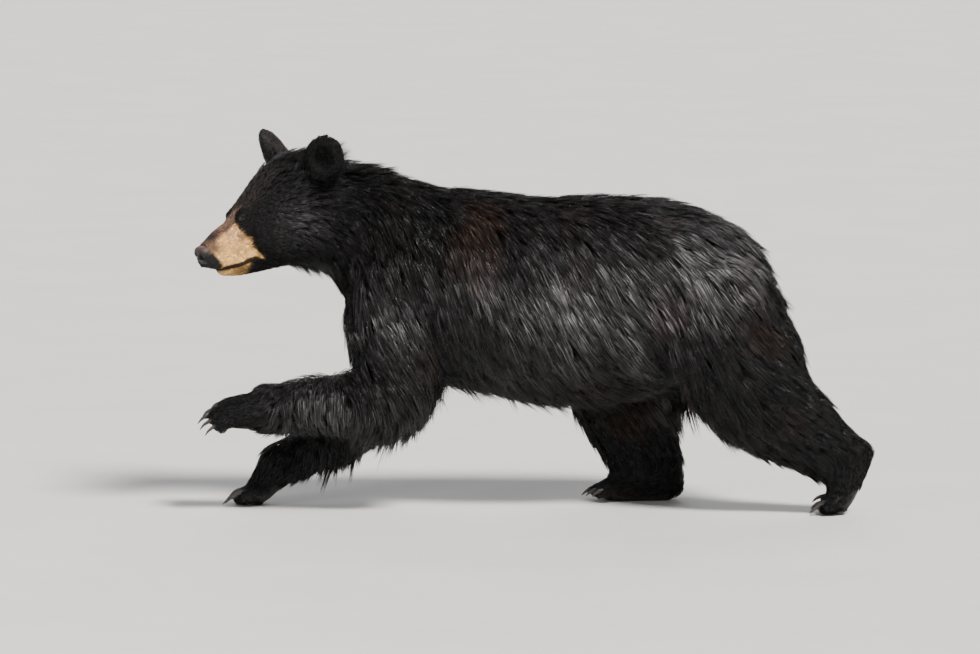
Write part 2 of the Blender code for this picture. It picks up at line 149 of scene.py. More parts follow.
def linked(name, mesh):
    obj = bpy.data.objects.new(name, mesh)
    bpy.context.scene.collection.objects.link(obj)
    return obj


def evaluated(obj):
    """The object's mesh with its modifiers applied; the object itself is removed."""
    graph = bpy.context.evaluated_depsgraph_get()
    mesh = bpy.data.meshes.new_from_object(obj.evaluated_get(graph))
    bpy.data.objects.remove(obj)
    return mesh


def read(items, key, width, kind):
    """An array of what a mesh's items hold, one row each."""
    held = np.empty(len(items) * width, kind)
    items.foreach_get(key, held)
    return held.reshape(-1, width)


def coords(mesh):
    return read(mesh.vertices, "co", 3, np.float32).astype(float)


def mesh_from(name, points, faces, material):
    mesh = bpy.data.meshes.new(name)
    mesh.from_pydata([tuple(p) for p in points], [], faces)
    mesh.update()
    mesh.materials.append(material)
    return mesh


def paint_tint(mesh, tint):
    """The colour of each vertex, with or without alpha, one row each or one for all."""
    paint = mesh.color_attributes.new("tint", "FLOAT_COLOR", "POINT")
    rgba = np.ones((len(mesh.vertices), 4), np.float32)
    rgba[:, : tint.shape[-1]] = tint
    paint.data.foreach_set("color", rgba.ravel())


def mark(mesh, name, values):
    """A number at each vertex, for a material to read."""
    marks = mesh.attributes.new(name, "FLOAT", "POINT")
    marks.data.foreach_set("value", np.asarray(values, np.float32))


def triangle_areas(a, b, c):
    return np.linalg.norm(np.cross(b - a, c - a), axis=1) / 2


def folded(u, v):
    """Two random shares, folded into the half of their square that is a triangle."""
    over = u + v > 1
    return np.where(over, 1 - u, u), np.where(over, 1 - v, v)


def tree_of(points):
    tree = KDTree(len(points))
    for i, point in enumerate(points):
        tree.insert(point, i)
    tree.balance()
    return tree


class Surface:
    """A triangle mesh as arrays, with fields that can be spread over it."""

    def __init__(self, mesh):
        self.co = coords(mesh)
        self.tris = read(mesh.polygons, "vertices", 3, np.int32)
        pairs = read(mesh.edges, "vertices", 2, np.int32)
        self.ends = np.concatenate([pairs, pairs[:, ::-1]])
        self.degree = np.bincount(self.ends[:, 0], minlength=len(self.co))[:, None]

    def normals(self):
        a, b, c = (self.co[self.tris[:, k]] for k in range(3))
        face = np.cross(b - a, c - a)
        total = np.zeros_like(self.co)
        for k in range(3):
            for axis in range(3):
                total[:, axis] += np.bincount(self.tris[:, k], face[:, axis], len(self.co))
        return unit(total)

    def around(self, field):
        """The mean of each vertex's neighbours."""
        total = [
            np.bincount(self.ends[:, 0], field[self.ends[:, 1], k], len(self.co))
            for k in range(field.shape[1])
        ]
        return np.stack(total, 1) / self.degree

    def spread(self, field, rounds, share=0.5):
        for _ in range(rounds):
            field = field + share * (self.around(field) - field)
        return field

    def polish(self, rounds, where=1.0):
        """Smooths the shape without shrinking it."""
        for _ in range(rounds):
            for share in (0.5, -0.52):
                self.co = self.co + share * where * (self.around(self.co) - self.co)


# -------- skin

FLESH = ["head", "neck", "trunk", "tail"]
FLESH += [f"{part}_{side}" for part in ("ear", "upper_arm", "forearm", "thigh", "shank") for side in SIDES]
FLESH += list(PAWS)
FILLERS = ["nose", "eye_left", "eye_right"]
VOXEL = 0.0060
WELD = 1e-5  # vertices closer than this are one
OVERLAP = 0.0007  # each solid is swollen by this, so that neighbours fuse
FINE_REACHES = (0.125, 0.036)  # how far behind the eyes the skin is made finer, once for each
HEAD_BOTTOM = -0.16
SAMPLE_SPACING, LEAST_SAMPLES = 0.006, 60  # of the points that tell the regions apart


def hull_mesh():
    """All the solids of flesh as one closed skin, finer on the head."""
    whole = bmesh.new()
    for name in FLESH + FILLERS:
        part = bmesh.new()
        part.from_mesh(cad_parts[name].data)
        bmesh.ops.remove_doubles(part, verts=part.verts, dist=WELD)
        part.normal_update()
        for vert in part.verts:
            vert.co += vert.normal * OVERLAP
        piece = bpy.data.meshes.new("part")
        part.to_mesh(piece)
        part.free()
        whole.from_mesh(piece)
        bpy.data.meshes.remove(piece)
    mesh = bpy.data.meshes.new("hull")
    whole.to_mesh(mesh)
    whole.free()
    obj = linked("hull", mesh)
    remesh = obj.modifiers.new("Fuse", "REMESH")
    remesh.mode, remesh.voxel_size = "VOXEL", VOXEL
    mesh = evaluated(obj)
    bm = bmesh.new()
    bm.from_mesh(mesh)
    for reach in FINE_REACHES:
        deep = in_head(np.array([v.co for v in bm.verts]))
        near = (deep[:, 1] < reach) & (deep[:, 2] > HEAD_BOTTOM)
        edges = [e for e in bm.edges if near[e.verts[0].index] and near[e.verts[1].index]]
        bmesh.ops.subdivide_edges(bm, edges=edges, cuts=1, use_grid_fill=True)
        bm.verts.index_update()
    bmesh.ops.triangulate(bm, faces=bm.faces)
    bm.to_mesh(mesh)
    bm.free()
    return mesh


def region_weights(surface):
    """Each vertex's share in each region, blended across their borders."""
    names = FLESH + FILLERS
    labels, points = [], []
    for number, name in enumerate(names):
        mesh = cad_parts[name].data
        mesh.calc_loop_triangles()
        at = coords(mesh)
        tris = np.array([t.vertices for t in mesh.loop_triangles])
        a, b, c = at[tris[:, 0]], at[tris[:, 1]], at[tris[:, 2]]
        area = triangle_areas(a, b, c)
        count = int(area.sum() / SAMPLE_SPACING**2) + LEAST_SAMPLES
        pick = rng.choice(len(tris), count, p=area / area.sum())
        u, v = folded(*rng.random((2, count, 1)))
        points.append(a[pick] + u * (b[pick] - a[pick]) + v * (c[pick] - a[pick]))
        labels += [number] * count
    tree = tree_of(np.concatenate(points))
    own = np.array([labels[tree.find(p)[1]] for p in surface.co])
    weights = np.zeros((len(own), len(names)))
    weights[np.arange(len(own)), own] = 1
    return {name: column for name, column in zip(names, surface.spread(weights, 14).T)}


# Per region: length, depth, width in mm, mm2 to a tuft, and how free it stands.
COAT = {
    "trunk": (60, 16, 2.0, 9.0, 0.26),
    "neck": (54, 20, 1.9, 8.6, 0.42),
    "head": (24, 8, 1.6, 6.0, 0.10),
    "ear": (7.5, 2.2, 1.0, 3.0, 0.02),
    "upper_arm": (54, 14, 1.9, 8.2, 0.26),
    "forearm": (34, 9, 1.8, 6.6, 0.30),
    "forepaw": (13, 3.2, 1.3, 4.2, 0.12),
    "thigh": (56, 15, 1.9, 8.2, 0.28),
    "shank": (38, 10, 1.8, 7.0, 0.32),
    "hindpaw": (14, 3.4, 1.3, 4.6, 0.12),
    "tail": (44, 8, 2.0, 8.0, 0.40),
    "nose": (2, 2.2, 0.6, 2.0, 0.0),
    "eye": (3, 1.3, 0.6, 1.6, 0.0),
}
# The same down the head, at distances behind the eyes, in metres.
HEAD_AT = (-0.075, -0.030, 0.000, 0.040, 0.080, 0.130, 0.190)
HEAD_COAT = np.array(
    [
        (2.4, 0.8, 0.60, 1.0, 0.05),
        (4.0, 1.2, 0.70, 1.2, 0.05),
        (5.5, 1.7, 0.80, 1.5, 0.05),
        (9.0, 3.0, 1.00, 2.2, 0.06),
        (15.0, 5.5, 1.30, 3.8, 0.08),
        (27.0, 9.5, 1.60, 6.0, 0.20),
        (38.0, 15.0, 1.90, 8.0, 0.34),
    ]
)


def kind_of(name):
    return name.removesuffix("_left").removesuffix("_right")


def coat_fields(surface, weights):
    """(length, depth, width, area of a tuft, freedom, droop) at each vertex, in metres."""
    total = sum(np.outer(weights[name], COAT[kind_of(name)]) for name in weights if name != "head")
    at = in_head(surface.co)
    head = np.stack([np.interp(at[:, 1], HEAD_AT, column) for column in HEAD_COAT.T], 1)
    cheek = step(0.03, 0.09, at[:, 1]) * step(-0.03, -0.09, at[:, 2])
    head[:, 0] *= 1 + 0.45 * cheek
    head[:, 1] *= 1 + 0.25 * cheek
    total += weights["head"][:, None] * head
    # Loose hair stands on the nape and hangs from throat, belly and legs.
    body = surface.co - SHIFT
    up = surface.normals()[:, 2]
    nape = bell(body[:, 1] + 0.345, 0.070) * step(0.25, 0.75, up) * step(0.45, 0.50, body[:, 2])
    hang = step(-0.25, -0.75, up) * step(0.10, 0.16, body[:, 2]) * step(-0.02, 0.06, at[:, 1])
    throat = bell(at[:, 1] - 0.105, 0.045) * step(-0.2, -0.7, up)
    total[:, 0] *= 1 + 0.15 * nape + 0.15 * hang + 0.30 * throat
    total[:, 1] *= 1 + 0.30 * nape + 0.25 * hang
    total[:, 4] = np.minimum(total[:, 4] + 0.50 * nape + 0.30 * hang + 0.60 * throat, 0.9)
    droop = 0.10 + 0.55 * throat - 0.50 * nape
    return np.column_stack([total * (1e-3, 1e-3, 1e-3, 1e-6, 1), droop])


def limb_way(start, end, back):
    """The lie of the coat down a limb: along it, with some way back."""
    return unit(np.array(end) - np.array(start)) + np.array((0, back, -0.10))


FALL_AT = (-0.35, -0.25, -0.12, -0.02, 0.12, 0.30, 0.45)  # along the trunk
FALL = (1.5, 2.1, 3.3, 2.6, 1.5, 1.15, 1.6)  # how steeply its coat falls at the side


def flow_field(surface, normals, weights):
    """The lie of the coat: a unit tangent at each vertex."""
    at = surface.co - SHIFT
    head = in_head(surface.co)
    n = normals
    side = np.abs(n[:, :1])
    flow = np.zeros_like(n)

    def add(name, vector):
        nonlocal flow
        flow = flow + weights[name][:, None] * unit(np.broadcast_to(vector, n.shape))

    rump = step(0.28, 0.42, at[:, 1:2])
    steep = np.interp(at[:, 1], FALL_AT, FALL)[:, None]
    fall = side**1.2 * steep + rump * 0.7
    wander = 0.30 * np.stack([waves(at, 0.045, seed) for seed in (11, 12, 13)], 1)
    add("trunk", np.array((0, 1, 0)) - fall * np.array((0, 0, 1)) + wander)
    add("neck", np.array((-0.12, 0.85, -0.35)) - side * np.array((0, 0, 0.75)) + wander)
    add("tail", np.array((0, 0.25, -1.0)))
    lower = step(0.03, -0.07, head[:, 2:3])
    behind = step(0.0, 0.10, head[:, 1:2])
    out = np.sign(head[:, :1])
    way = np.array((0, 1.0, 0.0)) + (1 - lower) * behind * np.array((0, 0, 0.25))
    way = way + lower * behind * np.array((0, 0, -0.95)) + out * behind * np.array((0.35, 0, 0))
    add("head", way @ HEAD_TURN.T)
    for name, sign in SIDES.items():
        foot, tip = EAR_FOOT * (sign, 1, 1), EAR_TIP * (sign, 1, 1)
        local = head - foot
        along = unit(tip - foot)
        off = local - (local @ along)[:, None] * along
        add(f"ear_{name}", (along + 9 * off * (1, 0.3, 1)) @ HEAD_TURN.T)
        add(f"upper_arm_{name}", limb_way(SHOULDER[name], ELBOW[name], 0.38) + wander)
        reach = 0.35 * unit(np.array(WRIST[name]) - np.array(ELBOW[name]))
        add(f"forearm_{name}", reach + np.array((0, 0.22, -0.9)) + wander)
        add(f"thigh_{name}", np.array((0, 0.80, -1.0)) + wander)
        add(f"shank_{name}", limb_way(KNEE[name], ANKLE[name], 0.30))
    for name in PAWS:
        turn = paw_turn(name)
        add(name, -turn[:, 1] - 0.25 * turn[:, 2] * np.sign(n @ turn[:, 2])[:, None])
    flow = flow + 1e-6
    for _ in range(10):
        flow = unit(flow - (flow * n).sum(1, keepdims=True) * n)
        flow = surface.spread(flow, 2)
    return unit(flow - (flow * n).sum(1, keepdims=True) * n)


def paw_bare(points, normals, weights):
    """1 on the bare pads under the paws."""
    bare = np.zeros(len(points))
    for name in PAWS:
        turn, palm = paw_turn(name), PAWS[name][2]
        q = (points - paw_origin(name)) @ turn
        under = step(-0.35, -0.70, normals @ turn[:, 2])
        y = q[:, 1] + palm
        crease = bell(y - 0.002, 0.0045)
        pads = under * (1 - crease) * step(0.052, 0.042, y if name != "hindpaw_right" else y - 0.06)
        bare = np.maximum(bare, pads * step(0.3, 0.7, weights[name]))
    return bare


# -------- face

MOUTH_AT = (-0.085, -0.056, -0.039, -0.020, -0.004, 0.010, 0.020)
MOUTH_HEIGHT = (-0.0725, -0.0742, -0.0758, -0.0768, -0.0732, -0.0745, -0.0800)


def mouth_height(y):
    return np.interp(y, MOUTH_AT, MOUTH_HEIGHT)


def shaped_face(surface, normals):
    """Moves the skin of the face: brow, folds by the eye, lips and philtrum."""
    at = in_head(surface.co)
    x, y, z = np.abs(at[:, 0]), at[:, 1], at[:, 2]
    out = np.zeros(len(x))

    def swell(centre, radii, amount):
        nonlocal out
        d = ((np.stack([x, y, z], 1) - centre) / radii) ** 2
        out = out + amount * np.exp(-d.sum(1))

    swell((0.029, 0.012, 0.011), (0.012, 0.013, 0.005), 0.0030)
    swell((0.030, -0.012, -0.002), (0.010, 0.009, 0.008), -0.0022)
    swell((0.034, 0.008, -0.014), (0.012, 0.014, 0.005), 0.0018)
    swell((0.000, 0.030, 0.020), (0.010, 0.030, 0.020), -0.0015)
    swell((0.027, -0.050, -0.040), (0.008, 0.022, 0.008), -0.0012)
    swell((0.026, -0.035, -0.062), (0.010, 0.030, 0.008), 0.0018)
    gap = z - mouth_height(y)
    here = step(0.024, 0.012, y)
    out = out - here * 0.0034 * bell(gap, 0.0019)
    out = out + here * 0.0014 * bell(gap - 0.0042, 0.0030)
    out = out - here * 0.0012 * bell(gap + 0.0060, 0.0045)
    front = step(-0.052, -0.066, y)
    out = out - front * 0.0016 * bell(x, 0.0013) * step(-0.074, -0.068, z) * step(-0.052, -0.058, z)
    surface.co = surface.co + normals * out[:, None]


# Hollows of the flanks: (points down the fold, back along the body and high), how deep and wide.
FOLDS = (
    (((0.190, 0.405), (0.240, 0.335), (0.268, 0.265), (0.283, 0.205)), 0.015, 0.024),
    (((-0.168, 0.400), (-0.158, 0.310), (-0.152, 0.225)), 0.011, 0.017),
    (((-0.330, 0.345), (-0.325, 0.300), (-0.300, 0.265)), 0.008, 0.020),
)


def fold_depth(points, normals):
    """How far each point is drawn in by the hollows."""
    at = points - SHIFT
    total = np.zeros(len(points))
    for line, deep, wide in FOLDS:
        backs, heights = np.array(line[::-1]).T
        off = at[:, 1] - np.interp(at[:, 2], heights, backs)
        foot = step(heights[0] - 0.03, heights[0] + 0.02, at[:, 2])
        top = step(heights[-1] + 0.03, heights[-1] - 0.03, at[:, 2])
        total += deep * bell(off, wide) * (foot * top)
    return total * step(0.25, 0.7, np.abs(normals[:, 0]))


def build_skin():
    surface = Surface(hull_mesh())
    weights = region_weights(surface)
    fine = sum(weights[n] for n in weights if kind_of(n) in ("forepaw", "hindpaw", "ear"))
    surface.polish(14, (1 - 0.8 * fine)[:, None])
    normals = surface.normals()
    fields = surface.spread(coat_fields(surface, weights), 6)
    bare = surface.spread(paw_bare(surface.co, normals, weights)[:, None], 3)
    fields[:, 1:2] *= 1 - 0.92 * bare
    outer = surface.co
    lie = surface.spread(normals, 3)
    surface.co = outer - unit(lie) * fields[:, 1:2]
    surface.polish(3)
    normals = surface.normals()
    surface.co = surface.co - normals * fold_depth(surface.co, normals)[:, None]
    shaped_face(surface, normals)
    return surface, weights, fields


surface, weights, fields = build_skin()
normals = surface.normals()
flow = flow_field(surface, normals, weights)


# -------- markings, painted shade and painted highlights

BLACK = np.array((0.0042, 0.0036, 0.0036))
# Near black: the real colour round the eyes and inside the ears, also used as painted shade.
DEEP_BLACK_AND_SHADE = np.array((0.0014, 0.0011, 0.0010))
BROWN = np.array((0.0230, 0.0105, 0.0060))
TAN = np.array((0.800, 0.475, 0.175))
PEACH = np.array((0.810, 0.480, 0.240))
OCHRE = np.array((0.270, 0.150, 0.050))
PINK = np.array((0.150, 0.084, 0.055))
DARK_BRIDGE = np.array((0.050, 0.033, 0.030))
SMOKE = np.array((0.0240, 0.0190, 0.0165))
PAINTED_HIGHLIGHT = np.array((0.218, 0.202, 0.210))  # painted highlight added to the hairs' colour where the coat shines, most on the longest hairs
LIP = np.array((0.008, 0.0065, 0.0065))
LID = np.array((0.0030, 0.0025, 0.0024))
NOSE_DARK = np.array((0.0110, 0.0085, 0.0078))
NOSE_PAINTED_HIGHLIGHT = np.array((0.085, 0.052, 0.039))
PAD = np.array((0.019, 0.0155, 0.0140))
TAN_HEIGHT = (-0.083, -0.075, -0.057, -0.030, -0.0095, 0.004)
TAN_REACH = (0.020, 0.024, 0.015, 0.003, -0.0030, -0.020)  # how far back the tan goes at each height


def mix(colour, other, share):
    return colour + (other - colour) * np.clip(share, 0, 1)[:, None]


# Where the coat gets a painted highlight: back along the body, height, reach along, reach up, share.
PAINTED_HIGHLIGHT_SPOTS = (
    (-0.235, 0.385, 0.060, 0.075, 0.9),
    (-0.210, 0.270, 0.045, 0.080, 0.25),
    (-0.060, 0.440, 0.110, 0.050, 0.9),
    (0.080, 0.415, 0.110, 0.070, 1.7),
    (0.215, 0.400, 0.070, 0.100, 1.5),
    (0.330, 0.462, 0.080, 0.058, 2.6),
    (0.390, 0.320, 0.045, 0.065, 0.15),
    (0.020, 0.285, 0.110, 0.030, 0.5),
    (0.262, 0.212, 0.036, 0.028, 1.2),
    (-0.350, 0.215, 0.090, 0.030, 0.8),
    (0.120, 0.500, 0.160, 0.030, 0.4),
)


def painted_highlight_strength(points, normals):
    """How strong the painted highlight on the coat is: 0 where none is painted and the coat stays deep
    black.
    """
    at = points - SHIFT
    found = np.zeros(len(points))
    for y, z, along, up, share in PAINTED_HIGHLIGHT_SPOTS:
        found = np.maximum(found, share * bell(np.hypot((at[:, 1] - y) / along, (at[:, 2] - z) / up), 1.0))
    # The painted highlight goes only on hair that faces up or out to the side, where the light falls, and
    # not in the deepest part of the folds.
    found = found * step(-0.35, 0.15, normals[:, 2] + 0.45 * np.abs(normals[:, 0]))
    found = found * (1 - bell(fold_depth(points, normals) - 0.016, 0.010))
    head = in_head(points)
    # The cheek gets a painted highlight too.
    cheek = bell(head[:, 1] - 0.085, 0.040) * bell(head[:, 2] + 0.035, 0.035)
    cheek = cheek * step(0.04, 0.06, np.abs(head[:, 0]))
    return np.maximum(found, 0.45 * cheek) * (1 + 0.5 * waves(points, 0.016, 21))


def markings(points, normals, weights):
    """The animal's colours at each point, linear, with painted shade in the flank hollow and on the ears.
    """
    at, body = in_head(points), points - SHIFT
    x, y, z = np.abs(at[:, 0]), at[:, 1], at[:, 2]
    colour = np.tile(BLACK, (len(points), 1))

    def paint(other, share):
        nonlocal colour
        colour = mix(colour, other, share)

    patches = step(0.10, 0.95, waves(points, 0.040, 5)) * 0.60
    off_head = 1 - np.clip(weights["head"] + weights["ear_left"] + weights["ear_right"], 0, 1)
    paint(BROWN, patches * off_head * step(-0.28, -0.18, body[:, 1]))
    # Painted shade: the hollow between flank and thigh is painted near black.
    hollow_shade = bell(np.hypot((body[:, 1] - 0.352) / 0.045, (body[:, 2] - 0.275) / 0.055), 1.0)
    paint(DEEP_BLACK_AND_SHADE, 0.85 * hollow_shade)
    wander = 0.004 * waves(points, 0.010, 6)
    head = step(0.3, 0.7, weights["head"] + weights["nose"] + weights["eye_left"] + weights["eye_right"])
    # The forehead is smoky. The ears are near black inside, their black hair darkened further as painted
    # shade, and half near black behind as painted shade; the right ear is then smoky behind, while the
    # left ear's back stays dark as painted shade.
    forehead = head * step(0.045, 0.020, x) * step(-0.01, 0.01, z) * step(0.13, 0.05, y)
    paint(SMOKE, 0.75 * forehead)
    for name, sign in SIDES.items():
        inner = step(-0.1, 0.4, (normals @ HEAD_TURN) @ unit(np.array((0.62 * sign, -0.78, 0.1))))
        ear = weights[f"ear_{name}"]
        # Painted shade on the ears: full inside, half strength behind.
        paint(DEEP_BLACK_AND_SHADE, step(0.02, 0.35, ear) * np.maximum(inner, 0.5))
        # Only the right ear gets smoke behind; the left ear's back is left dark as painted shade.
        paint(SMOKE, ear * (1 - inner) * (0.0 if sign > 0 else 0.9))
    # The pale muzzle: tan sides and lips, a pink bridge with a dark patch.
    reach = np.interp(z, TAN_HEIGHT, TAN_REACH)
    side = step(0.0045, -0.0045, y - reach + wander)
    gap = z - mouth_height(y)
    bridge = step(0.0225, 0.0145, x + 0.5 * wander) * step(-0.039, -0.027, z + 0.25 * (y + 0.02))
    top = step(0.030, -0.014, y + 1.5 * wander)
    paint(OCHRE, head * side)
    mottled = TAN * (1 + 0.16 * waves(points, 0.007, 8))[:, None]
    paint(mottled, head * step(0.008, -0.020, y - reach + 2.0 * wander) * side)
    peach = bell(y + 0.016, 0.018) * bell(z + 0.020, 0.018)
    paint(PEACH, head * side * peach)
    paint(PINK, head * bridge * top)
    by_nose = step(-0.034, -0.056, y) * step(-0.056, -0.034, z)
    paint(PINK * 1.1, head * by_nose * 0.9)
    smoky = step(-0.030, 0.004, y + wander)
    paint(SMOKE * 4.5, head * bridge * smoky * top)
    shaded = step(0.026, 0.015, x) * step(-0.040, -0.024, z) * top
    paint(PINK * 1.3, head * shaded * 0.6)
    patch = bell(y + 0.046, 0.014) * step(0.023, 0.009, x) * step(-0.034, -0.024, z)
    paint(DARK_BRIDGE, head * patch)
    # A darker spot below the eye, at the tan's rear edge.
    dark_spot_below_eye = bell(y + 0.004, 0.005) * bell(z + 0.034, 0.008) * step(0.02, 0.03, x)
    paint(DARK_BRIDGE, head * dark_spot_below_eye * 0.55)
    # Lips and chin.
    by_lip = bell(gap - 0.006, 0.007) * step(-0.050, -0.042, y)
    paint(TAN * (1.25, 1.32, 1.30), head * side * by_lip * 0.9)
    below = step(-0.001, -0.005, gap)
    chin_end = step(0.000, -0.022, y + wander)
    paint(BLACK * 1.5, head * below * (1 - chin_end))
    chin = head * below * chin_end
    paint(OCHRE * (1.1, 1.15, 1.3), chin)
    paint(TAN * 0.9, chin * bell(y + 0.040, 0.020) * step(-0.006, -0.011, gap))
    lip = step(0.0016, -0.0004, gap) * step(-0.0088, -0.0060, gap) * step(0.020, 0.006, y)
    paint(LIP, head * lip * 0.93)
    muzzle_end = step(-0.0545, -0.0605, y + 0.20 * (z + 0.058) + 0.3 * wander) * step(-0.036, -0.046, z)
    paint(LIP * 1.6, head * muzzle_end)
    from_eye = np.stack([x, y, z], 1) - EYE_IN_HEAD
    around_eye = step(0.0185, 0.0110, np.linalg.norm(from_eye * (1, 0.85, 1), axis=1))
    paint(DEEP_BLACK_AND_SHADE, head * around_eye)
    paint(LIP * 3, step(0.3, 0.6, weights["nose"]))
    return mix(colour, PAD, paw_bare(points, normals, weights))


# -------- fur

LOCK = 15  # tufts to a lock
LOCK_SPREADS = (0.16, 0.10, 0.16, 0.42)  # how much locks differ in turn, length, height and shade
LONG_SHARE = 0.24  # of tufts that are longer, thinner and stand above the rest: the guard hairs
LONG_LENGTH, LONG_DEPTH, LONG_WIDTH, LONG_FREEDOM = 1.28, 1.26, 0.62, 1.7  # times the others'
ROOT_DEPTH = 0.0008  # of roots under the skin
STRAY = 0.012  # how far hairs reach past the solids' box
MIDDLE_CLEAR, TIP_CLEAR = 0.0016, 0.0004  # the least heights over the floor


class Coat:
    """Roots over the skin and the tufts that grow from them."""

    def __init__(self, surface, normals, flow, fields, bare):
        self.s, self.n, self.flow, self.fields = surface, normals, flow, fields
        self.tree = BVHTree.FromPolygons(surface.co.tolist(), surface.tris.tolist())
        area = triangle_areas(*(surface.co[surface.tris[:, k]] for k in range(3)))
        share = fields[surface.tris, 3].mean(1)
        expected = area / share * (1 - step(0.2, 0.6, bare[surface.tris].mean(1)))
        count = rng.poisson(expected)
        self.tri = np.repeat(np.arange(len(count)), count)
        u, v = folded(*rng.random((2, len(self.tri))))
        self.bary = np.stack([1 - u - v, u, v], 1)

    def at_roots(self, field):
        return np.einsum("nk,nkj->nj", self.bary, field[self.s.tris[self.tri]])

    def nearest(self, points):
        """The closest skin to each point: its place and triangle."""
        found = [self.tree.find_nearest(p) for p in points.tolist()]
        return np.array([f[0] for f in found]), np.array([f[2] for f in found])

    def across(self, tri, field):
        return field[self.s.tris[tri]].mean(1)

    def shapes(self):
        """(root, normal, middle, tip, width) of every tuft; long and shade are kept besides."""
        root = self.at_roots(self.s.co)
        normal = unit(self.at_roots(self.n))
        way = unit(self.at_roots(self.flow))
        length, depth, width, _, free, droop = self.at_roots(self.fields).T
        size = len(root)
        long = rng.random(size) < LONG_SHARE
        length = length * rng.uniform(0.80, 1.15, size) * np.where(long, LONG_LENGTH, 1)
        width = width * rng.uniform(0.75, 1.25, size) * np.where(long, LONG_WIDTH, 1)
        # Locks: tufts lean to a guide nearby and share its turn, length, height and shade.
        guides = rng.choice(size, size // LOCK, replace=False)
        tree = tree_of(root[guides])
        lock = np.array([tree.find(p)[1] for p in root.tolist()])
        near = guides[lock]
        turn, stretch, rise, self.shade = (rng.normal(0, s, len(guides))[lock] for s in LOCK_SPREADS)
        length = length * np.exp(stretch)
        depth = depth * rng.uniform(0.88, 1.10, size) * np.exp(rise) * np.where(long, LONG_DEPTH, 1)
        side = np.cross(normal, way)
        way = unit(way + side * (turn + rng.normal(0, 0.07, size))[:, None])
        half = (length * 0.5)[:, None]
        place, tri = self.nearest(root + way * half)
        up = unit(self.across(tri, self.n))
        middle = place + up * (depth * 0.80)[:, None]
        ahead = self.across(tri, self.flow)
        ahead = unit(ahead - (ahead * up).sum(1, keepdims=True) * up)
        place, tri = self.nearest(middle + ahead * half)
        tip = place + unit(self.across(tri, self.n)) * depth[:, None]
        loose_middle = root + half * unit(way + normal * 0.35)
        loose_tip = root + 2 * half * unit(way + normal * 0.22) - np.outer(droop * length, (0, 0, 1))
        free = free * rng.uniform(0.2, 1.6, size) * np.where(long, LONG_FREEDOM, 1)
        share = np.minimum(free, 0.9)[:, None]
        middle = middle + share * (loose_middle - middle)
        tip = tip + share * (loose_tip - tip)
        apart = root - root[near]
        agree = step(0.2, 0.7, (normal * normal[near]).sum(1))
        agree = agree * step(2.2, 0.8, np.linalg.norm(apart, axis=1) / np.maximum(length * 0.45, 1e-4))
        pull = (agree * rng.uniform(0.35, 0.85, size))[:, None]
        tip = tip + pull * (tip[near] + apart * 0.40 - tip)
        middle = middle + 0.35 * pull * (middle[near] + apart * 0.5 - middle)
        low, high = (np.array(corner) for corner in cad_box)
        middle, tip = (np.clip(p, low - STRAY, high + STRAY) for p in (middle, tip))
        middle[:, 2] = np.maximum(middle[:, 2], MIDDLE_CLEAR)
        tip[:, 2] = np.maximum(tip[:, 2], TIP_CLEAR)
        self.long = long
        return root - normal * ROOT_DEPTH, normal, middle, tip, width


# A tuft's rings of three are its left, right and upper side; it ends in a point.
GUARD_FACES = np.array(
    [
        (0, 1, 2),
        (0, 4, 1), (0, 3, 4),
        (1, 5, 2), (1, 4, 5),
        (2, 3, 0), (2, 5, 3),
        (3, 6, 4), (4, 6, 5), (5, 6, 3),
    ]
)
UNDER_FACES = np.array([(1, 2, 0), (2, 3, 0), (3, 1, 0), (1, 4, 2), (2, 4, 3), (3, 4, 1)])
# Each tuft's colour is scaled from root to tip: darkest at the root as painted shade among the hairs,
# lighter at the tip.
WAIST_MAP, WAIST_SHADE = [(-0.42, 0.1), (0.42, 0.1), (0, 0.22)], [0.9, 0.9, 1.0]
TIP_MAP, TIP_SHADE = (0, 0.5), 1.45
ROOT_PAINTED_SHADE = 0.30
GUARD_MAP = np.array([(-0.5, -0.5), (0.5, -0.5), (0, -0.35), *WAIST_MAP, TIP_MAP])
UNDER_MAP = np.array([(0, -0.5), *WAIST_MAP, TIP_MAP])
GUARD_SHADE = np.array([ROOT_PAINTED_SHADE] * 3 + [*WAIST_SHADE, TIP_SHADE])
UNDER_SHADE = np.array([ROOT_PAINTED_SHADE, *WAIST_SHADE, TIP_SHADE])
PATCH = 0.003  # the size of a tuft on the bake map
PIECE_TRIANGLES = 185000  # the most in one piece


def tuft_points(root, normal, middle, tip, width, guard):
    """Seven vertices to a guard tuft; five to one of the undercoat, which starts in a point."""
    first, second = unit(middle - root), unit(tip - middle)

    def ring(centre, along, broad, thick):
        side = unit(np.cross(along, normal))
        up = np.cross(side, along)
        broad, thick = width[:, None] * broad, width[:, None] * thick
        return [centre - side * broad, centre + side * broad, centre + up * thick]

    start = ring(root, first, 0.42, 0.24) if guard else [root]
    waist = ring(middle, unit(first + second), 0.50 if guard else 0.56, 0.30)
    return np.stack([*start, *waist, tip], 1)


